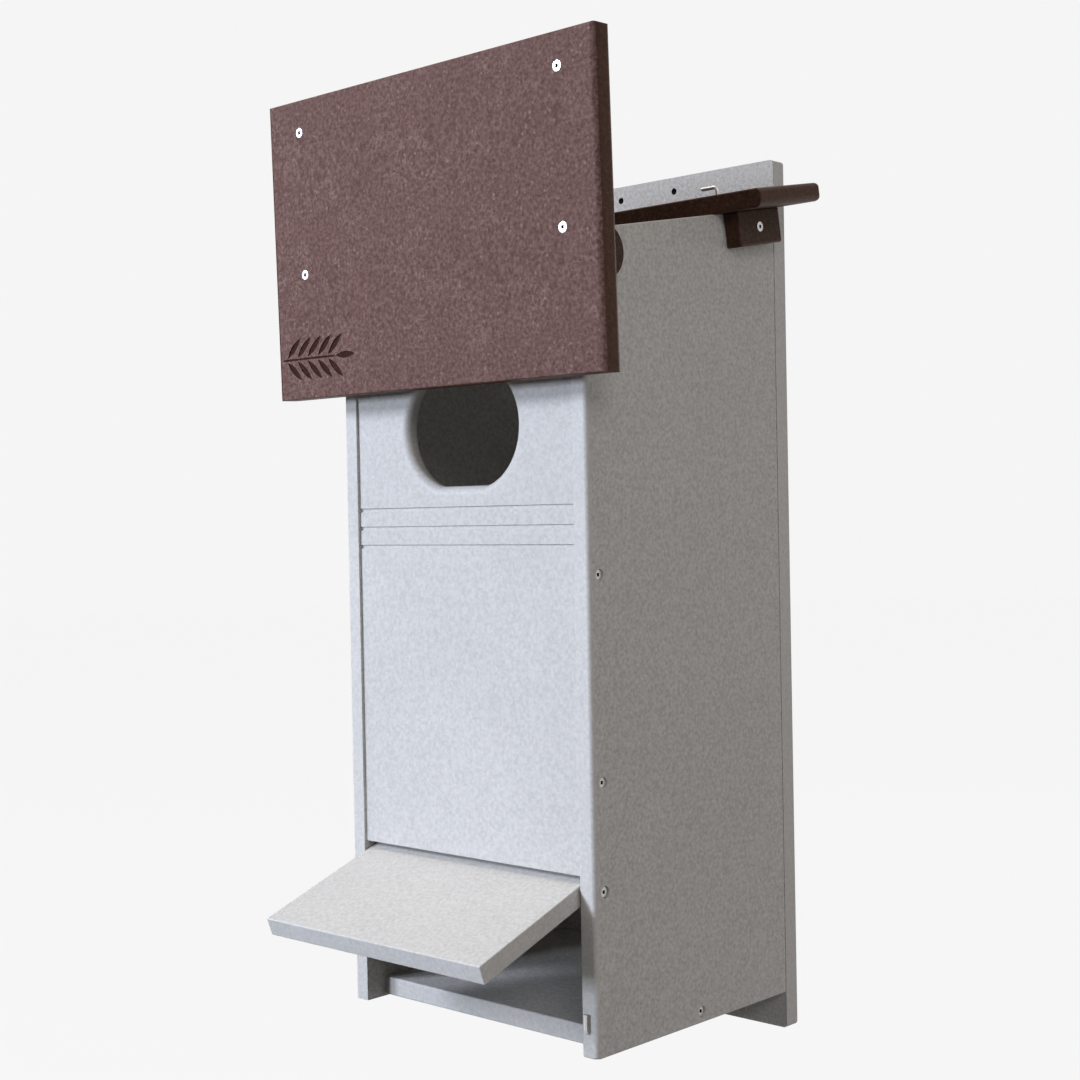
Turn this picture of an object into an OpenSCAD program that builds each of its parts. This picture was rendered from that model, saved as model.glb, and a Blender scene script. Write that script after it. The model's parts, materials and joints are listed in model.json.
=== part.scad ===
// Nest box of recycled plastic boards: a tall box on a back board, with a roof lid
// that swings open on two arms, a fixed strip behind the lid, an oval entrance,
// a clean-out door across the bottom of the front, and two L-hook latches.
// Millimetres. The front faces -Y and +Z is up. The origin is on the back board's
// rear face, on its centre line, level with the underside of the side panels.

/* [Box] */
// Width over the two side panels
box_w = 228.6; // [180:0.2:320]
// Depth of a side panel, from its front edge to the back board
side_depth = 203; // [170:1:260]
// Height of a side panel at its front edge
side_front_h = 518; // [460:1:640]
// Pitch of the side panels' sloped tops, in degrees
roof_pitch = 10; // [5:0.5:15]
// Thickness of the grey boards
board_t = 12.7; // [10:0.1:16]
// Height of the back board's top edge above the box's underside
back_top = 588; // [580:1:700]
// Length of the back board below the box's underside
back_tab = 25.5; // [15:0.5:60]
// Set-back of the front panel behind the side panels' front edges
front_recess = 2; // [1:0.1:3.6]
// Set-back of the clean-out door behind the side panels' front edges
door_recess = 3.6; // [3:0.1:6]
// Height of the floor's underside above the side panels' bottom edges
floor_lift = 1.4; // [0:0.1:6]

/* [Front panel] */
// Height of the front panel's bottom edge
front_bottom = 113.4; // [110:0.1:130]
// Width of the entrance hole
entrance_w = 102.8; // [85:0.1:120]
// Height of the entrance hole
entrance_h = 78.1; // [60:0.1:80]
// Height of the entrance hole's centre
entrance_z = 400.4; // [385:0.1:405]
// Radius of the entrance hole's round ends
entrance_end_r = 40.5; // [40.2:0.1:42]
// Radius of the rounded edges of the entrance hole
entrance_ease = 6; // [2:0.1:6.2]
// Height of the lowest of the three foothold grooves
groove_z = 321; // [300:0.1:330]
// Spacing of the foothold grooves
groove_step = 12.7; // [10:0.1:16]
// Width of a groove
groove_w = 2.4; // [1.5:0.1:3]
// Depth of a groove
groove_depth = 1.2; // [0.8:0.1:4]
// Number of climbing grooves inside the front panel
ladder_count = 12; // [0:1:14]

/* [Roof] */
// Width of the lid and of the rear strip
roof_w = 308; // [280:1:340]
// Length of the lid from its front edge to its rear edge
lid_len = 207; // [200:1:212]
// Thickness of the lid
lid_t = 15.9; // [12:0.1:20]
// Distance from the lid's front edge back to its pivot axis
lid_front = 77; // [75:0.5:82]
// Distance from the pivot axis up to the lid's underside
arm_drop = 18.9; // [18.5:0.1:20]
// Thickness of the rear strip, the rear blocks and the lid arms
trim_t = 12.7; // [10:0.1:14]
// Radius of the moulded edges at the left and right ends of the lid and strip
roof_ease = 5; // [2:0.1:6]
// Radius of the sawn front and rear edges of the lid and strip
saw_ease = 1.2; // [0.4:0.1:2]
// Lid angle as stored, from level to standing up, in degrees
lid_angle = 91.6; // [60:0.1:96]
// Depth of the leaf sprig cut into the lid's top face
sprig_depth = 0.6; // [0.2:0.1:1.5]

/* [Clean-out door] */
// Height of the door's pivot axis
door_pivot_z = 103.8; // [100:0.1:106]
// Length of the door below its pivot axis
door_drop = 103; // [95:0.5:103]
// Length of the door above its pivot axis
door_rise = 6.3; // [4:0.1:6.5]
// Door angle as stored, from shut to open, in degrees
door_angle = 70; // [0:1:105]

/* [Hardware] */
// Radius of a screw's shank
shank_r = 1.75; // [1.5:0.05:2]
// Radius of a flat screw head
head_r = 3.5; // [3:0.1:4]
// Radius of the wire of an L-hook
hook_r = 1.3; // [1:0.05:1.3]
// Length of the leg of the lid's L-hook
lid_hook_leg = 12.5; // [12:0.1:13.5]
// Length of the leg of the door's L-hook
door_hook_leg = 11.8; // [9:0.1:14]
// Spacing of the two hanging holes in the back board
hang_spacing = 51.2; // [40:0.1:80]
// Radius of a hanging hole
hang_r = 2.4; // [2:0.1:4]

/* [Hidden] */

$fn = 48;
GREY = [0.80, 0.82, 0.85];
BROWN = [0.36, 0.27, 0.26];
STEEL = [0.78, 0.78, 0.76];

fit = 0.05;           // radial clearance of a shank in its hole
part_gap = 0.3;       // gap between parts that move past each other
cut = 1;              // how far a cutting shape runs past a face

half_w = box_w / 2;
inner_half = half_w - board_t;
front_y = -(board_t + side_depth);
panel_mid_y = front_y + front_recess + board_t / 2;
door_mid_y = front_y + door_recess + board_t / 2;
side_mid_x = half_w - board_t / 2;
side_rear_h = side_front_h + side_depth * tan(roof_pitch);

// Lid pivot, measured from the side panel's top front corner
lid_pivot_y = front_y + 6.5;
lid_pivot_z = side_front_h - 14.5;
arm_gap = 0.3;
arm_mid_x = half_w + arm_gap + trim_t / 2;
arm_depth = 24;
arm_rear = 120;
lobe_r = 17;
lid_screw_spots = [[-120, 9.3], [-120, 107.8], [123.2, 12.2], [123.2, 109]];

// Leaf sprig on the lid: where its stem starts, and its leaves
sprig_at = [-147, -49];
leaf_pairs = 5;
leaf_step = 11;
leaf_len = 20;
leaf_w = 4.6;
leaf_lean = 42;
stem_w = 1.4;

// Rear strip and rear blocks, measured along the roof slope
strip_front = 136;
strip_rear = side_depth / cos(roof_pitch);
block_front = 146;
block_len = 48;
block_h = 24;
block_mid_x = half_w + trim_t / 2;
strip_screw_u = block_front + 40;

// Latches
lid_hook_x = 115;
lid_hook_u = 142;
lid_hook_standoff = 5.2;
door_hook_x = 106.6;
door_hook_z = 16.3;
door_hook_standoff = 2.4;
lid_hook_root = 12;
door_hook_root = 22;

// Screws: lengths, and how far their heads sit below a face
long_screw = 32;
short_screw = 22;
flush = 0.2;
sunk = 1.4;
front_screw_zs = [172.6, 303, 480];
back_screw_zs = [60, 290, 520];
front_screw_y = front_y + 10;
floor_screw_y = front_y + 106;
floor_mid_z = floor_lift + board_t / 2;

ladder_z = 150;
ladder_step = 16;

// ---------- placing ----------

// Puts children on the side panels' sloped top: +Y up the slope, +Z out of it
module on_roof() {
    translate([0, front_y, side_front_h])
        rotate([roof_pitch, 0, 0])
            children();
}

// Puts children in the lid's own frame: the pivot axis is X, +Y runs to its rear edge
module on_lid() {
    translate([0, lid_pivot_y, lid_pivot_z])
        rotate([lid_angle, 0, 0])
            children();
}

// Puts children in the door's own frame: the pivot axis is X, -Z runs to its free edge
module on_door() {
    translate([0, door_mid_y, door_pivot_z])
        rotate([-door_angle, 0, 0])
            children();
}

// Turns a shape that goes in along -Z so that it goes in along -X or +X,
// with its head on the plane x = side * distance
module from_side(side, distance) {
    translate([side * distance, 0, 0])
        rotate([0, side * 90, 0])
            children();
}

// ---------- shared shapes ----------

// A roof board of the given size, centred: moulded round ends, sawn front and rear
module roof_board(size) {
    intersection() {
        linear_extrude(size[2], center = true)
            rounded_rect(size[0], size[1], saw_ease);
        rotate([90, 0, 0])
            linear_extrude(size[1], center = true)
                rounded_rect(size[0], size[2], roof_ease);
        rotate([90, 0, 90])
            linear_extrude(size[0], center = true)
                rounded_rect(size[1], size[2], saw_ease);
    }
}

// A rectangle with round corners, centred
module rounded_rect(w, h, r) {
    square([w - 2 * r, h], center = true);
    square([w, h - 2 * r], center = true);
    for (x = [-1, 1], y = [-1, 1])
        translate([x * (w / 2 - r), y * (h / 2 - r)])
            circle(r);
}

// A flat-head screw that goes in along -Z, its head's top at z = 0
module flat_screw(length) {
    head_depth = head_r - shank_r;
    tip = 4;
    difference() {
        union() {
            translate([0, 0, -head_depth])
                cylinder(h = head_depth, r1 = shank_r, r2 = head_r);
            translate([0, 0, tip - length])
                cylinder(h = length - tip - head_depth, r = shank_r);
            translate([0, 0, -length])
                cylinder(h = tip, r1 = 0.4, r2 = shank_r);
        }
        drive_recess();
    }
}

// A round-head screw that goes in along -Z, the underside of its head at z = 0
module round_screw(length) {
    head_h = 2.4;
    tip = 4;
    difference() {
        union() {
            cylinder(h = head_h * 0.5, r = head_r);
            translate([0, 0, head_h * 0.5])
                cylinder(h = head_h * 0.5, r1 = head_r, r2 = head_r * 0.62);
            translate([0, 0, tip - length])
                cylinder(h = length - tip, r = shank_r);
            translate([0, 0, -length])
                cylinder(h = tip, r1 = 0.4, r2 = shank_r);
        }
        translate([0, 0, head_h])
            drive_recess();
    }
}

// The square socket in a screw's head
module drive_recess() {
    socket = 2.3;
    depth = 1.3;
    translate([0, 0, -depth / 2 + cut / 2])
        cube([socket, socket, depth + cut], center = true);
}

// What a flat-head screw takes out of a board: its head's top is at z = 0 and the
// board's face is at z = sink
module screw_hole(length, sink) {
    head_depth = head_r - shank_r;
    translate([0, 0, -head_depth])
        cylinder(h = head_depth, r1 = shank_r + fit, r2 = head_r + fit);
    cylinder(h = sink + cut, r = head_r + fit);
    translate([0, 0, -length - fit])
        cylinder(h = length, r = shank_r + fit);
}

// An L-hook that goes in along -Z as deep as root; its leg, of the given length from
// the hook's axis, points along +X at z = standoff
module l_hook(root, standoff, leg) {
    bend = hook_r * 1.8;
    translate([0, 0, -root])
        cylinder(h = root + standoff - bend, r = hook_r);
    translate([bend, 0, standoff - bend])
        rotate([90, 0, 0])
            rotate([0, 0, 90])
                rotate_extrude(angle = 90)
                    translate([bend, 0])
                        circle(hook_r, $fn = 32);
    translate([bend, 0, standoff])
        rotate([0, 90, 0])
            cylinder(h = leg - bend, r = hook_r);
}

// ---------- grey boards ----------

module back_board() {
    height = back_top + back_tab;
    color(GREY)
        difference() {
            translate([0, -board_t / 2, back_top - height / 2])
                rotate([90, 0, 0])
                    linear_extrude(board_t, center = true)
                        rounded_rect(box_w, height, 3);
            for (x = [-1, 1])
                translate([x * hang_spacing / 2, cut, hang_z()])
                    rotate([90, 0, 0])
                        cylinder(h = board_t + 2 * cut, r = hang_r);
            back_board_screw_places()
                screw_hole(long_screw, sunk);
        }
}

// Height of the hanging holes, a little below the back board's top edge
function hang_z() = back_top - 10.3;

// One side panel; side is -1 for the left and 1 for the right
module side_panel(side) {
    color(GREY)
        difference() {
            translate([side * side_mid_x, 0, 0])
                rotate([90, 0, 90])
                    linear_extrude(board_t, center = true)
                        polygon([[front_y, 0], [-board_t, 0],
                                 [-board_t, side_rear_h], [front_y, side_front_h]]);
            front_panel_screw_places([side])
                screw_hole(long_screw, sunk);
            floor_screw_places([side])
                screw_hole(long_screw, sunk);
            back_board_screw_places()
                screw_hole(long_screw, sunk);
            rear_block_screw_places([side])
                screw_hole(short_screw, flush);
            lid_pivot_bore(side);
            door_pivot_bore(side);
            if (side > 0)
                door_hook_bore();
        }
}

module left_side() {
    side_panel(-1);
}

module right_side() {
    side_panel(1);
}

module front_panel() {
    front = front_y + front_recess;
    rear = front + board_t;
    top = side_front_h - front_y * tan(roof_pitch);
    color(GREY)
        difference() {
            rotate([90, 0, 90])
                linear_extrude(2 * inner_half, center = true)
                    polygon([[front, front_bottom], [rear, front_bottom],
                             [rear, top + rear * tan(roof_pitch)],
                             [front, top + front * tan(roof_pitch)]]);
            translate([0, panel_mid_y, entrance_z])
                entrance_cut();
            for (i = [0 : 2])
                translate([-half_w, front - cut, groove_z + i * groove_step - groove_w / 2])
                    cube([box_w, groove_depth + cut, groove_w]);
            ladder_grooves(rear);
            front_panel_screw_places([-1, 1])
                screw_hole(long_screw, sunk);
        }
}

// What the entrance takes out of the front panel: an oval with round ends, cut off flat
// above and below, with both rims rounded; centred
module entrance_cut() {
    end_x = entrance_w / 2 - entrance_end_r;
    intersection() {
        union() {
            for (side = [-1, 1])
                translate([side * end_x, 0, 0])
                    rotate([90, 0, 0])
                        rotate_extrude($fn = 128)
                            rim_section(entrance_end_r);
            rim_slot(2 * end_x, entrance_end_r);
        }
        rim_slot(entrance_w + 4 * entrance_ease, entrance_h / 2);
    }
}

// A slot of the given length along X with rounded rims, reaching that far up and down
module rim_slot(length, reach) {
    rotate([0, -90, 0])
        linear_extrude(length, center = true)
            for (side = [0, 1])
                mirror([side, 0])
                    rim_section(reach);
}

// Section of a hole with rounded rims: x is the distance from the hole's middle and
// y runs through the board
module rim_section(reach) {
    nose = entrance_ease;
    middle = board_t / 2 - nose;
    difference() {
        translate([0, -board_t / 2 - cut])
            square([reach + nose - 0.05, board_t + 2 * cut]);
        for (side = [-1, 1])
            translate([reach + nose, side * middle])
                circle(nose, $fn = 64);
        translate([reach, -middle])
            square([nose + cut, 2 * middle]);
    }
}

// Shallow rungs sawn across the middle of the front panel's inner face
module ladder_grooves(rear) {
    rung_w = 110;
    rung_depth = 1.6;
    for (i = [0 : 1 : ladder_count - 1])
        translate([-rung_w / 2, rear - rung_depth, ladder_z + i * ladder_step])
            cube([rung_w, rung_depth + cut, groove_w]);
}

module floor_board() {
    front = front_y + door_recess + board_t + part_gap;
    color(GREY)
        difference() {
            translate([-inner_half, front, floor_lift])
                cube([2 * inner_half, -board_t - front, board_t]);
            floor_screw_places([-1, 1])
                screw_hole(long_screw, sunk);
        }
}

module cleanout_door() {
    width = 2 * (inner_half - 0.8);
    color(GREY)
        difference() {
            on_door()
                translate([-width / 2, -board_t / 2, -door_drop])
                    cube([width, board_t, door_drop + door_rise]);
            for (side = [-1, 1])
                door_pivot_place(side)
                    cylinder(h = 2 * (long_screw + fit), r = shank_r + fit, center = true);
        }
}

// ---------- brown boards ----------

module roof_lid() {
    color(BROWN)
        difference() {
            on_lid()
                translate([0, lid_len / 2 - lid_front, arm_drop + lid_t / 2])
                    roof_board([roof_w, lid_len, lid_t]);
            lid_arm_screw_places()
                screw_hole(short_screw, flush);
            on_lid()
                translate([sprig_at[0], sprig_at[1], arm_drop + lid_t - sprig_depth])
                    linear_extrude(sprig_depth + cut)
                        sprig();
        }
}

// A leaf sprig along +X: a thin stem, leaves in pairs beside it and one at its end
module sprig() {
    clear = stem_w;
    stem_len = leaf_step * leaf_pairs;
    translate([0, -stem_w / 2])
        square([stem_len, stem_w]);
    for (i = [0 : leaf_pairs - 1], side = [-1, 1])
        translate([leaf_step * (i + 0.4), side * clear])
            rotate(side * leaf_lean)
                leaf();
    translate([stem_len + clear, 0])
        leaf();
}

// A pointed leaf from the origin along +X
module leaf() {
    a = leaf_len / 2;
    b = leaf_w / 2;
    bow = (a * a + b * b) / (2 * b);
    translate([a, 0])
        intersection() {
            translate([0, bow - b])
                circle(bow, $fn = 128);
            translate([0, b - bow])
                circle(bow, $fn = 128);
        }
}

// One lid arm: a bar under the lid with a round ear about the pivot
module lid_arm(side) {
    corner = 6;
    color(BROWN)
        difference() {
            on_lid()
                translate([side * arm_mid_x, 0, 0])
                    rotate([90, 0, 90])
                        linear_extrude(trim_t, center = true) {
                            circle(lobe_r, $fn = 96);
                            translate([0, arm_drop - arm_depth])
                                square([arm_rear - corner, arm_depth]);
                            translate([0, arm_drop - arm_depth + corner])
                                square([arm_rear, arm_depth - corner]);
                            translate([arm_rear - corner, arm_drop - arm_depth + corner])
                                circle(corner);
                        }
            lid_arm_screw_places()
                screw_hole(short_screw, flush);
            lid_pivot_bore(side);
        }
}

module left_lid_arm() {
    lid_arm(-1);
}

module right_lid_arm() {
    lid_arm(1);
}

module roof_rear_strip() {
    color(BROWN)
        difference() {
            on_roof()
                translate([0, (strip_front + strip_rear) / 2, trim_t / 2])
                    roof_board([roof_w, strip_rear - strip_front, trim_t]);
            rear_strip_screw_places()
                screw_hole(short_screw, flush);
            lid_hook_bore();
        }
}

// One block that carries an end of the rear strip
module rear_block(side) {
    color(BROWN)
        difference() {
            on_roof()
                translate([side * block_mid_x - trim_t / 2, block_front, -block_h])
                    cube([trim_t, block_len, block_h]);
            rear_block_screw_places([side])
                screw_hole(short_screw, flush);
            rear_strip_screw_places()
                screw_hole(short_screw, flush);
        }
}

module left_rear_block() {
    rear_block(-1);
}

module right_rear_block() {
    rear_block(1);
}

// ---------- pivots and bores ----------

// The axis of the lid's pivot screw on one side, its head outermost
module lid_pivot_place(side) {
    translate([0, lid_pivot_y, lid_pivot_z])
        from_side(side, half_w + arm_gap + trim_t + part_gap)
            children();
}

module lid_pivot_bore(side) {
    lid_pivot_place(side)
        translate([0, 0, -short_screw - fit])
            cylinder(h = short_screw + 4, r = shank_r + fit);
}

// The axis of the door's pivot screw on one side, its head's top below the face
module door_pivot_place(side) {
    translate([0, door_mid_y, door_pivot_z])
        from_side(side, half_w - sunk)
            children();
}

// The door's pivot screw turns in this bore, with its head free in the counterbore
module door_pivot_bore(side) {
    head_depth = head_r - shank_r;
    door_pivot_place(side) {
        translate([0, 0, -long_screw])
            cylinder(h = long_screw, r = shank_r + fit);
        translate([0, 0, -head_depth - part_gap])
            cylinder(h = head_depth + part_gap + sunk + cut, r = head_r + part_gap);
    }
}

// The lid hook's axis, square to the strip, its leg along the strip
module lid_hook_place() {
    on_roof()
        translate([lid_hook_x, lid_hook_u, trim_t])
            rotate([0, 0, 180])
                children();
}

module lid_hook_bore() {
    lid_hook_place()
        translate([0, 0, -lid_hook_root - fit])
            cylinder(h = lid_hook_root + cut, r = hook_r + fit);
}

// The door hook's axis, straight into the right side panel's front edge, leg up
module door_hook_place() {
    translate([door_hook_x, front_y, door_hook_z])
        rotate([90, 0, 0])
            rotate([0, 0, 90])
                children();
}

module door_hook_bore() {
    door_hook_place()
        translate([0, 0, -door_hook_root - fit])
            cylinder(h = door_hook_root + cut, r = hook_r + fit);
}

module left_lid_pivot_screw() {
    color(STEEL)
        lid_pivot_place(-1)
            round_screw(short_screw);
}

module right_lid_pivot_screw() {
    color(STEEL)
        lid_pivot_place(1)
            round_screw(short_screw);
}

module left_door_pivot_screw() {
    color(STEEL)
        door_pivot_place(-1)
            flat_screw(long_screw);
}

module right_door_pivot_screw() {
    color(STEEL)
        door_pivot_place(1)
            flat_screw(long_screw);
}

// ---------- fasteners ----------

module lid_arm_screw_places() {
    on_lid()
        for (spot = lid_screw_spots)
            translate([spot[0], spot[1], arm_drop + lid_t - flush])
                children();
}

module front_panel_screw_places(sides) {
    for (side = sides, z = front_screw_zs)
        translate([0, front_screw_y, z])
            from_side(side, half_w - sunk)
                children();
}

module floor_screw_places(sides) {
    for (side = sides)
        translate([0, floor_screw_y, floor_mid_z])
            from_side(side, half_w - sunk)
                children();
}

module back_board_screw_places() {
    for (side = [-1, 1], z = back_screw_zs)
        translate([side * side_mid_x, -sunk, z])
            rotate([-90, 0, 0])
                children();
}

module rear_block_screw_places(sides) {
    for (side = sides)
        on_roof()
            translate([0, block_front + block_len / 2, -block_h / 2])
                from_side(side, half_w + trim_t - flush)
                    children();
}

module rear_strip_screw_places() {
    for (side = [-1, 1])
        on_roof()
            translate([side * block_mid_x, strip_screw_u, trim_t - flush])
                children();
}

module lid_arm_screws() {
    color(STEEL)
        lid_arm_screw_places()
            flat_screw(short_screw);
}

module front_panel_screws() {
    color(STEEL)
        front_panel_screw_places([-1, 1])
            flat_screw(long_screw);
}

module floor_screws() {
    color(STEEL)
        floor_screw_places([-1, 1])
            flat_screw(long_screw);
}

module back_board_screws() {
    color(STEEL)
        back_board_screw_places()
            flat_screw(long_screw);
}

module rear_block_screws() {
    color(STEEL)
        rear_block_screw_places([-1, 1])
            flat_screw(short_screw);
}

module rear_strip_screws() {
    color(STEEL)
        rear_strip_screw_places()
            flat_screw(short_screw);
}

module lid_latch_hook() {
    color(STEEL)
        lid_hook_place()
            l_hook(lid_hook_root, lid_hook_standoff, lid_hook_leg);
}

module door_latch_hook() {
    color(STEEL)
        door_hook_place()
            l_hook(door_hook_root, door_hook_standoff, door_hook_leg);
}

back_board();
left_side();
right_side();
front_panel();
floor_board();
roof_rear_strip();
left_rear_block();
right_rear_block();
roof_lid();
left_lid_arm();
right_lid_arm();
cleanout_door();
left_lid_pivot_screw();
right_lid_pivot_screw();
left_door_pivot_screw();
right_door_pivot_screw();
lid_arm_screws();
front_panel_screws();
floor_screws();
back_board_screws();
rear_block_screws();
rear_strip_screws();
lid_latch_hook();
door_latch_hook();
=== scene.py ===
"""Looks for a nest box of recycled-plastic boards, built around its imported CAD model."""

import json
import math

import bmesh
import bpy
import numpy as np
from mathutils import Matrix, Vector


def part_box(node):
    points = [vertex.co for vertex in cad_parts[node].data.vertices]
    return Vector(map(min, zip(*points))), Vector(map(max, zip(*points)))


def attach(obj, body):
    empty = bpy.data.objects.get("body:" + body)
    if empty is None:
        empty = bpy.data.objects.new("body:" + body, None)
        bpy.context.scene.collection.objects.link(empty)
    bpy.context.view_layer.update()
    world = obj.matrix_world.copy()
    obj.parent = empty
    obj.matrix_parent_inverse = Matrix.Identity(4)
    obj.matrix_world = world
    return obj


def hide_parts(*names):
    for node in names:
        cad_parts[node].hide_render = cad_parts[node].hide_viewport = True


MM = 0.001

# Radius of rounded edges, in millimetres, and the shortest edge that is rounded
GREY_EASE = 1.2
DOOR_EASE = 0.9
BROWN_EASE = 1.4
SIDE_FRONT_EASE = 3.2
GROOVE_EASE = 0.3
STEEL_EASE = 0.22
SHORTEST_EASED = 4.5

# Angles between two faces, in degrees: a board's corner, a steel rim and a sharp shaded edge
CORNER_ANGLE = 60
RIM_ANGLE = 40
SHARP_ANGLE = 32

# Two measures nearer than this are the same, in millimetres, exactly or nearly
SAME = 0.01
NEARLY_SAME = 0.1

# Screws: what tells a socket's points, which get painted shade, from the rest of a screw, in
# millimetres
SOCKET_REACH = 1.7
SOCKET_DEPTH = 1.35

# How far in from a board's rim its holes lie, in millimetres; the back board's hole walls there get
# painted shade
BORE_INSET = 5

# Cosines of the angle between a face and a board's broad side: at least this for the broad
# side itself, and for the lid's moulded skin, which turns over its rounded ends; its lighter brown
# there is also a painted highlight along the rounding
BROADSIDE = 0.999
SKIN_AND_PAINTED_HIGHLIGHT = 0.5

# The front panel's grooves are longer than this, in millimetres
GROOVE_SPAN = 50

# Sprig on the lid: how far in from the lid's corner it lies, and how deep, in millimetres
SPRIG_MARGIN = 3
SPRIG_REACH = 100
SPRIG_DEPTH = 0.9

# Camera: place, direction in radians and lens
CAMERA_PLACE = (0.83638, -1.03353, 0.34114)
CAMERA_YAW = 0.75083
CAMERA_PITCH = -0.01432
CAMERA_ROLL = -0.01880
CAMERA_LENS = 58.558

# Stage: the floor's height in metres, and how bright the floor and the backdrop glow
FLOOR_Z = -0.36
FLOOR_GLOW = 0.908
BACKGROUND = (0.913, 0.913, 0.913, 1)

# Light: the even light from all round, then the lamps, which all point at LIT_POINT.
# A lamp's values are azimuth and elevation in degrees, distance and width in metres,
# power in watts, and colour; azimuth runs from straight ahead of the box towards +X.
AMBIENT_COLOR = (1.0, 0.90, 0.82)
AMBIENT_STRENGTH = 0.06
LIT_POINT = Vector((0, -0.15, 0.30))
LAMPS = {
    "main_light": (-36, 22, 3.0, 0.6, 72, (0.80, 0.86, 1.0)),
    "low_light": (-20, 6, 3.2, 0.5, 66, (0.78, 0.85, 1.0)),
    "top_light": (-60, 66, 3.0, 0.8, 42, (1.0, 0.90, 0.74)),
    "side_light": (98, 4, 3.3, 2.0, 24, (1.0, 0.955, 0.93)),
    "right_light": (52, 24, 3.2, 0.9, 17, (1.0, 0.955, 0.93)),
    "back_light": (180, 3, 3.2, 1.4, 26, (1.0, 0.97, 0.95)),
}

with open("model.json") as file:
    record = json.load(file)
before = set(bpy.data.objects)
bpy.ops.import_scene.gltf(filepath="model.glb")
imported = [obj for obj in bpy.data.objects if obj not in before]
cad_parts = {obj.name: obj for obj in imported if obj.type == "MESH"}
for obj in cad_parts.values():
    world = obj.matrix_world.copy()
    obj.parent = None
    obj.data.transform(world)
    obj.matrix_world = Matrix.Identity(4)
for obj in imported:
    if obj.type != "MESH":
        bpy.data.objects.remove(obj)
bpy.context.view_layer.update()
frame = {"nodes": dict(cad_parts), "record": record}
nodes = frame["nodes"]
body_of = {node: body for body, names in frame["record"]["behaviour"]["bodies"].items()
           for node in names}


# ---------- shader building ----------


def new_material(name):
    material = bpy.data.materials.new(name)
    material.use_nodes = True
    tree = material.node_tree
    return material, tree, tree.nodes["Principled BSDF"]


def add(tree, kind, inputs=None, **settings):
    """A new shader node; inputs maps socket names to values or to sockets to link from."""
    node = tree.nodes.new(kind)
    for key, value in settings.items():
        setattr(node, key, value)
    for key, value in (inputs or {}).items():
        if isinstance(value, bpy.types.NodeSocket):
            tree.links.new(value, node.inputs[key])
        else:
            node.inputs[key].default_value = value
    return node


def ramp(tree, factor, stops):
    """A colour ramp over factor, with stops given as (position, colour)."""
    node = add(tree, "ShaderNodeValToRGB", {"Fac": factor})
    points = node.color_ramp.elements
    while len(points) < len(stops):
        points.new(0.5)
    for point, (position, color) in zip(points, stops):
        point.position = position
        point.color = (*color, 1) if len(color) == 3 else color
    return node.outputs["Color"]


def noise(tree, place, scale, detail=2.0, roughness=0.5):
    node = add(tree, "ShaderNodeTexNoise",
               {"Vector": place, "Scale": scale, "Detail": detail, "Roughness": roughness})
    return node.outputs["Fac"]


def mixed(tree, factor, first, second, blend="MIX"):
    node = add(tree, "ShaderNodeMix", data_type="RGBA", blend_type=blend)
    for index, value in ((0, factor), (6, first), (7, second)):
        if isinstance(value, bpy.types.NodeSocket):
            tree.links.new(value, node.inputs[index])
        else:
            node.inputs[index].default_value = value
    return node.outputs[2]


def board_material(name, shades, fleck, gloss, relief, shine, veins=0.0):
    """Moulded recycled plastic: a mottle of three shades, a slow drift, flecks and flow lines.

    gloss is (lowest roughness, highest roughness), relief the grain's height in mm, and
    veins the strength of the thin pale flow lines.
    """
    dark, base, light = shades
    material, tree, shader = new_material(name)
    place = add(tree, "ShaderNodeTexCoord").outputs["Object"]
    grain = noise(tree, place, 400.0, detail=4.0, roughness=0.68)
    mottle = ramp(tree, grain, [(0.34, dark), (0.50, base), (0.66, light)])

    drift = noise(tree, place, 9.0, detail=3.0, roughness=0.6)
    shade = ramp(tree, drift, [(0.30, (0.95, 0.95, 0.955)), (0.70, (1.0, 1.0, 1.0))])
    drifted = mixed(tree, 1.0, mottle, shade, "MULTIPLY")

    flow = noise(tree, place, 95.0, detail=2.0, roughness=0.55)
    line = ramp(tree, flow, [(0.475, (0, 0, 0)), (0.50, (veins, veins, veins)), (0.525, (0, 0, 0))])
    patch = ramp(tree, noise(tree, place, 30.0), [(0.45, (0, 0, 0)), (0.62, (1, 1, 1))])
    veined = mixed(tree, mixed(tree, 1.0, line, patch, "MULTIPLY"), drifted, (*fleck, 1))

    cells = add(tree, "ShaderNodeTexVoronoi", {"Vector": place, "Scale": 300.0})
    spot = ramp(tree, cells.outputs["Distance"], [(0.18, (1, 1, 1)), (0.38, (0, 0, 0))])
    chosen = add(tree, "ShaderNodeSeparateColor", {"Color": cells.outputs["Color"]})
    rare = ramp(tree, chosen.outputs[0], [(0.72, (0, 0, 0)), (1.0, (0.75, 0.75, 0.75))])
    mask = mixed(tree, 1.0, spot, rare, "MULTIPLY")
    tree.links.new(mixed(tree, mask, veined, (*fleck, 1)), shader.inputs["Base Color"])

    dull = add(tree, "ShaderNodeMapRange",
               {"Value": grain, "From Min": 0.3, "From Max": 0.7,
                "To Min": gloss[0], "To Max": gloss[1]})
    tree.links.new(dull.outputs["Result"], shader.inputs["Roughness"])
    shader.inputs["Specular IOR Level"].default_value = shine

    skin = noise(tree, place, 1500.0, detail=2.0)
    height = add(tree, "ShaderNodeMath", {0: grain, 1: skin}, operation="ADD")
    bump = add(tree, "ShaderNodeBump",
               {"Height": height.outputs[0], "Strength": 0.5, "Distance": relief * MM})
    tree.links.new(bump.outputs["Normal"], shader.inputs["Normal"])
    return material


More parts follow.
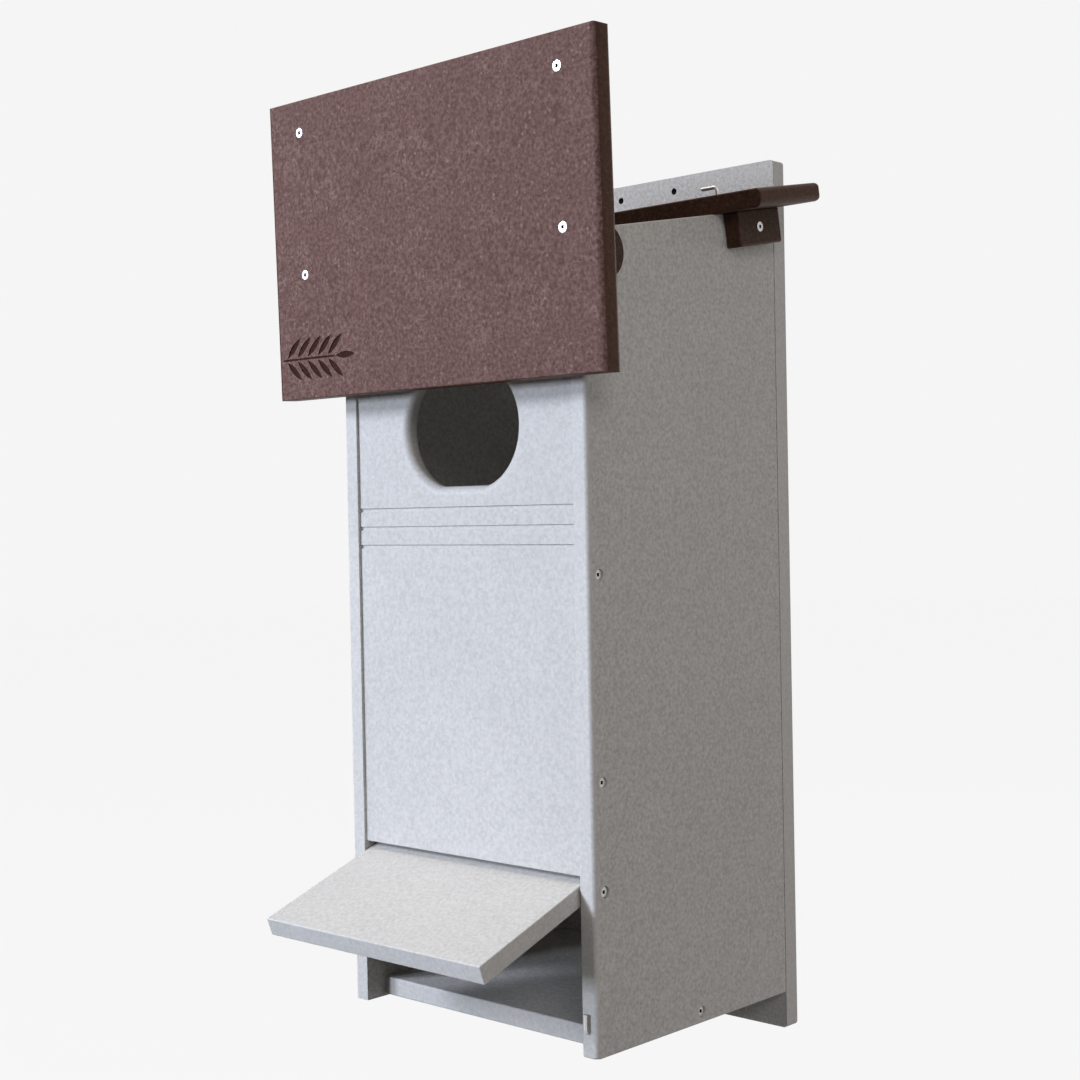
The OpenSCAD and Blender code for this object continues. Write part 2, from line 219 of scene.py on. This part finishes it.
def metal_material(name, dark, light, gloss):
    """Plain metal with fine turning marks; gloss is (lowest roughness, highest roughness)."""
    material, tree, shader = new_material(name)
    place = add(tree, "ShaderNodeTexCoord").outputs["Object"]
    marks = noise(tree, place, 2600.0, detail=3.0, roughness=0.7)
    color = ramp(tree, marks, [(0.3, dark), (0.7, light)])
    tree.links.new(color, shader.inputs["Base Color"])
    shader.inputs["Metallic"].default_value = 1.0
    dull = add(tree, "ShaderNodeMapRange",
               {"Value": marks, "From Min": 0.3, "From Max": 0.7,
                "To Min": gloss[0], "To Max": gloss[1]})
    tree.links.new(dull.outputs["Result"], shader.inputs["Roughness"])
    return material


GREY_FACE = board_material(
    "grey_face", shades=((0.380, 0.375, 0.360), (0.490, 0.485, 0.470), (0.590, 0.585, 0.570)),
    fleck=(0.63, 0.62, 0.60), gloss=(0.55, 0.70), relief=0.05, shine=0.25)
GREY_FRONT = board_material(
    "grey_front", shades=((0.427, 0.422, 0.407), (0.493, 0.488, 0.473), (0.552, 0.547, 0.532)),
    fleck=(0.57, 0.56, 0.545), gloss=(0.55, 0.70), relief=0.04, shine=0.25)
GREY_CUT = board_material(
    "grey_cut", shades=((0.440, 0.435, 0.420), (0.495, 0.490, 0.475), (0.545, 0.540, 0.525)),
    fleck=(0.57, 0.565, 0.55), gloss=(0.50, 0.62), relief=0.03, shine=0.3)
BROWN_FACE = board_material(
    "brown_face", shades=((0.066, 0.032, 0.028), (0.116, 0.061, 0.053), (0.174, 0.103, 0.092)),
    fleck=(0.24, 0.165, 0.145), gloss=(0.60, 0.76), relief=0.06, shine=0.08, veins=0.45)
BROWN_CUT = board_material(
    "brown_cut", shades=((0.052, 0.024, 0.016), (0.072, 0.035, 0.024), (0.096, 0.050, 0.035)),
    fleck=(0.12, 0.068, 0.050), gloss=(0.42, 0.52), relief=0.03, shine=0.06, veins=0.2)
BROWN_TRIM = board_material(
    "brown_trim", shades=((0.036, 0.021, 0.014), (0.056, 0.033, 0.024), (0.080, 0.050, 0.038)),
    fleck=(0.10, 0.065, 0.052), gloss=(0.55, 0.68), relief=0.05, shine=0.05, veins=0.3)
SCORCH = board_material(
    "scorched", shades=((0.020, 0.008, 0.006), (0.032, 0.013, 0.010), (0.046, 0.021, 0.017)),
    fleck=(0.06, 0.03, 0.025), gloss=(0.60, 0.75), relief=0.04, shine=0.03)
# Painted shade: a near-black copy of the grey plastic for the walls of the back board's holes
BORE_SHADE = board_material(
    "bore_wall_painted_shade", shades=((0.020, 0.020, 0.019), (0.028, 0.028, 0.027), (0.036, 0.036, 0.035)),
    fleck=(0.04, 0.04, 0.04), gloss=(0.60, 0.75), relief=0.03, shine=0.1)
STEEL = metal_material("bright_steel", (0.38, 0.38, 0.375), (0.54, 0.54, 0.53), (0.34, 0.50))
# Painted shade: near-black steel for the screws' sockets, which are the same steel as the heads
SOCKET_SHADE = metal_material("socket_painted_shade", (0.035, 0.035, 0.035), (0.07, 0.07, 0.07), (0.45, 0.60))


# ---------- meshes ----------


def welded(node):
    """A bmesh of a CAD node with its seams joined and its flat faces made whole."""
    shape = bmesh.new()
    shape.from_mesh(nodes[node].data)
    bmesh.ops.remove_doubles(shape, verts=shape.verts, dist=0.001 * MM)
    bmesh.ops.dissolve_limit(shape, angle_limit=math.radians(0.3),
                             verts=shape.verts, edges=shape.edges)
    return shape


def is_corner(edge):
    """True for a convex edge where two faces meet at a steep angle."""
    return (len(edge.link_faces) == 2 and edge.is_convex
            and edge.calc_face_angle() > math.radians(CORNER_ANGLE))


def is_long_corner(edge):
    return is_corner(edge) and edge.calc_length() > SHORTEST_EASED * MM


def round_edges(shape, radius, wanted, segments=4):
    """Rounds the edges that wanted(edge) picks, to a radius in millimetres; returns the new faces."""
    edges = [e for e in shape.edges if wanted(e)]
    made = bmesh.ops.bevel(shape, geom=edges, offset=radius * MM, offset_type="OFFSET",
                           segments=segments, profile=0.5, affect="EDGES", clamp_overlap=True)
    return set(made["faces"])


def visible_piece(node, shape, materials):
    """Makes shape the visible piece for node, smooth apart from its sharp edges."""
    for f in shape.faces:
        f.smooth = True
    for e in shape.edges:
        e.smooth = len(e.link_faces) == 2 and e.calc_face_angle() < math.radians(SHARP_ANGLE)
    mesh = bpy.data.meshes.new(node + "_eased")
    shape.to_mesh(mesh)
    shape.free()
    for material in materials:
        mesh.materials.append(material)
    piece = bpy.data.objects.new(node + "_eased", mesh)
    bpy.context.scene.collection.objects.link(piece)
    flat = piece.modifiers.new("flat_faces", "WEIGHTED_NORMAL")
    flat.keep_sharp = True
    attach(piece, body_of[node])
    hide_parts(node)


def board(node, shape, face, cut):
    """A board: the face material on its two broad sides and the cut one elsewhere."""
    broad = max(shape.faces, key=lambda f: f.calc_area()).normal.copy()
    for f in shape.faces:
        f.material_index = 0 if abs(f.normal.dot(broad)) > BROADSIDE else 1
    visible_piece(node, shape, (face, cut))


def grey_board(node, face, radius):
    shape = welded(node)
    round_edges(shape, radius, is_long_corner)
    board(node, shape, face, GREY_CUT)


def back_board():
    """The back board, with the walls of its screw and hanging holes left dark: painted shade."""
    shape = welded("back_board")
    low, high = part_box("back_board")
    round_edges(shape, GREY_EASE, is_long_corner)
    for f in shape.faces:
        centre = f.calc_center_median()
        inset = min(centre.x - low.x, high.x - centre.x, centre.z - low.z, high.z - centre.z)
        broadside = abs(f.normal.y) > BROADSIDE
        # index 2 is the painted shade on the hole walls
        f.material_index = 0 if broadside else 2 if inset > BORE_INSET * MM else 1
    visible_piece("back_board", shape, (GREY_FACE, GREY_CUT, BORE_SHADE))


def brown_trim(node, radius):
    shape = welded(node)
    round_edges(shape, radius, is_long_corner)
    board(node, shape, BROWN_TRIM, BROWN_CUT)


def side_panel(node, side):
    """A side panel, with a wide rounding down its outer front edge; side is -1 or 1."""
    shape = welded(node)
    low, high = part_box(node)
    outer_x = high.x if side > 0 else low.x

    def front_outer(edge):
        return is_long_corner(edge) and all(
            abs(v.co.x - outer_x) < SAME * MM and abs(v.co.y - low.y) < SAME * MM
            for v in edge.verts)

    wide = round_edges(shape, SIDE_FRONT_EASE, front_outer, segments=6)
    round_edges(shape, GREY_EASE, lambda e: is_corner(e) and (
        is_long_corner(e) or any(f in wide for f in e.link_faces)))
    board(node, shape, GREY_FACE, GREY_CUT)


def front_panel():
    """The front panel, with fine rounding on the lips of its grooves."""
    shape = welded("front_panel")
    at_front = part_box("front_panel")[0].y + SAME * MM

    def lip(edge):
        a, b = (v.co for v in edge.verts)
        level = abs(a.z - b.z) < SAME * MM
        wide = abs(a.x - b.x) > GROOVE_SPAN * MM
        return is_corner(edge) and level and wide and a.y < at_front and b.y < at_front

    round_edges(shape, GROOVE_EASE, lip, segments=2)
    board("front_panel", shape, GREY_FRONT, GREY_CUT)


def roof_lid():
    """The lid, with the sprig cut into its top face left dark, and a painted highlight of face brown
    along its rounded ends.
    """
    shape = welded("roof_lid")
    out = max(shape.faces, key=lambda f: f.calc_area()).normal.copy()
    heights = [v.co.dot(out) for v in shape.verts]
    bottom, top = min(heights), max(heights)
    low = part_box("roof_lid")[0]
    for f in shape.faces:
        centre = f.calc_center_median()
        inset = min(centre.dot(out) - bottom, top - centre.dot(out))
        in_sprig = (low.x + SPRIG_MARGIN * MM < centre.x < low.x + SPRIG_REACH * MM
                    and low.z + SPRIG_MARGIN * MM < centre.z)
        cut_in = NEARLY_SAME * MM < inset < SPRIG_DEPTH * MM
        # faces up to halfway round the rounded ends take the lighter face brown: moulded skin and a
        # painted highlight
        broadside = abs(f.normal.dot(out)) > SKIN_AND_PAINTED_HIGHLIGHT
        f.material_index = 2 if in_sprig and cut_in else 0 if broadside else 1
    visible_piece("roof_lid", shape, (BROWN_FACE, BROWN_CUT, SCORCH))


def islands(shape):
    """The separate solids of a bmesh, each a list of its vertices."""
    left = set(shape.verts)
    while left:
        found = [left.pop()]
        for v in found:
            near = {e.other_vert(v) for e in v.link_edges} & left
            left -= near
            found.extend(near)
        yield found


def steel_piece(node):
    """Screws or a hook: softened edges, and painted shade (near-black steel) in each screw's socket.
    """
    shape = welded(node)
    sockets = set()
    if "screw" in node:
        for verts in islands(shape):
            sockets |= socket_verts(verts)
    for f in shape.faces:
        # socket faces get the painted shade
        f.material_index = 1 if all(v in sockets for v in f.verts) else 0
    round_edges(shape, STEEL_EASE, lambda e: is_rim(e) and not any(v in sockets for v in e.verts),
                segments=3)
    visible_piece(node, shape, (STEEL, SOCKET_SHADE))


def is_rim(edge):
    return (len(edge.link_faces) == 2 and edge.is_convex
            and edge.calc_face_angle() > math.radians(RIM_ANGLE))


def socket_verts(verts):
    """The points of one screw that belong to the socket in its head."""
    points = np.array([v.co for v in verts]) / MM
    middle = points.mean(axis=0)
    axis = np.linalg.svd(points - middle)[2][0]
    along = (points - middle) @ axis
    reach = np.linalg.norm(points - middle - np.outer(along, axis), axis=1)
    if along[reach > reach.max() - NEARLY_SAME].mean() < 0:
        along = -along
    in_socket = (along > along.max() - SOCKET_DEPTH) & (reach < SOCKET_REACH)
    return {v for v, inside in zip(verts, in_socket) if inside}


back_board()
grey_board("floor_board", GREY_FACE, GREY_EASE)
side_panel("left_side", -1)
side_panel("right_side", 1)
grey_board("cleanout_door", GREY_FRONT, DOOR_EASE)
front_panel()
for name in ("left_rear_block", "right_rear_block", "left_lid_arm", "right_lid_arm"):
    brown_trim(name, BROWN_EASE)
board("roof_rear_strip", welded("roof_rear_strip"), BROWN_TRIM, BROWN_CUT)
roof_lid()
for name in body_of:
    if "screw" in name or "hook" in name:
        steel_piece(name)


# ---------- stage ----------


def stage_material(name, color, emission):
    """A matt pale surface, lifted a little by its own light."""
    material, tree, shader = new_material(name)
    place = add(tree, "ShaderNodeTexCoord").outputs["Object"]
    faint = ramp(tree, noise(tree, place, 3.0), [(0.3, color), (0.7, tuple(c * 0.99 for c in color))])
    tree.links.new(faint, shader.inputs["Base Color"])
    shader.inputs["Roughness"].default_value = 1.0
    shader.inputs["Specular IOR Level"].default_value = 0.0
    shader.inputs["Emission Color"].default_value = (1, 1, 1, 1)
    shader.inputs["Emission Strength"].default_value = emission
    return material


def add_stage(name, mesh):
    """A surface that shows to the camera and in reflections, but lights nothing itself."""
    surface = bpy.data.objects.new(name, mesh)
    surface.visible_diffuse = False
    surface.visible_transmission = False
    surface.visible_volume_scatter = False
    surface.visible_shadow = False
    bpy.context.scene.collection.objects.link(surface)
    return surface


def add_floor():
    shape = bmesh.new()
    bmesh.ops.create_grid(shape, x_segments=8, y_segments=8, size=14.0)
    mesh = bpy.data.meshes.new("floor")
    shape.to_mesh(mesh)
    shape.free()
    mesh.materials.append(stage_material("pale_floor", (0.02, 0.02, 0.02), FLOOR_GLOW))
    add_stage("floor", mesh).location.z = FLOOR_Z


def add_backdrop():
    """A pale dome round everything."""
    shape = bmesh.new()
    bmesh.ops.create_uvsphere(shape, u_segments=48, v_segments=24, radius=13.0)
    mesh = bpy.data.meshes.new("backdrop")
    shape.to_mesh(mesh)
    shape.free()
    material = bpy.data.materials.new("backdrop")
    material.use_nodes = True
    tree = material.node_tree
    tree.nodes.remove(tree.nodes["Principled BSDF"])
    glow = add(tree, "ShaderNodeEmission", {"Color": BACKGROUND, "Strength": 1.0})
    tree.links.new(glow.outputs[0], tree.nodes["Material Output"].inputs["Surface"])
    mesh.materials.append(material)
    add_stage("backdrop", mesh)


def add_lamp(name, azimuth, elevation, distance, size, power, color):
    """A square light aimed at the box."""
    across, up = math.radians(azimuth), math.radians(elevation)
    outward = Vector((math.sin(across) * math.cos(up), -math.cos(across) * math.cos(up),
                      math.sin(up)))
    light = bpy.data.lights.new(name, "AREA")
    light.size = size
    light.energy = power
    light.color = color
    lamp = bpy.data.objects.new(name, light)
    lamp.location = LIT_POINT + outward * distance
    lamp.rotation_euler = (-outward).to_track_quat("-Z", "Y").to_euler()
    bpy.context.scene.collection.objects.link(lamp)


def add_world(color, strength):
    world = bpy.data.worlds.new("studio")
    world.use_nodes = True
    background = world.node_tree.nodes["Background"]
    background.inputs["Color"].default_value = (*color, 1)
    background.inputs["Strength"].default_value = strength
    bpy.context.scene.world = world


def add_camera():
    forward = Vector((-math.sin(CAMERA_YAW) * math.cos(CAMERA_PITCH),
                      math.cos(CAMERA_YAW) * math.cos(CAMERA_PITCH),
                      math.sin(CAMERA_PITCH)))
    level_right = Vector((math.cos(CAMERA_YAW), math.sin(CAMERA_YAW), 0))
    level_up = level_right.cross(forward)
    right = level_right * math.cos(CAMERA_ROLL) + level_up * math.sin(CAMERA_ROLL)
    up = level_up * math.cos(CAMERA_ROLL) - level_right * math.sin(CAMERA_ROLL)
    data = bpy.data.cameras.new("camera")
    data.lens = CAMERA_LENS
    data.sensor_width = 36.0
    camera = bpy.data.objects.new("camera", data)
    turn = Matrix((right, up, -forward)).transposed().to_4x4()
    camera.matrix_world = Matrix.Translation(CAMERA_PLACE) @ turn
    bpy.context.scene.collection.objects.link(camera)
    bpy.context.scene.camera = camera


add_floor()
add_backdrop()
add_world(AMBIENT_COLOR, AMBIENT_STRENGTH)
for name, values in LAMPS.items():
    add_lamp(name, *values)
add_camera()
bpy.context.scene.view_settings.view_transform = "Standard"

bpy.context.view_layer.update()
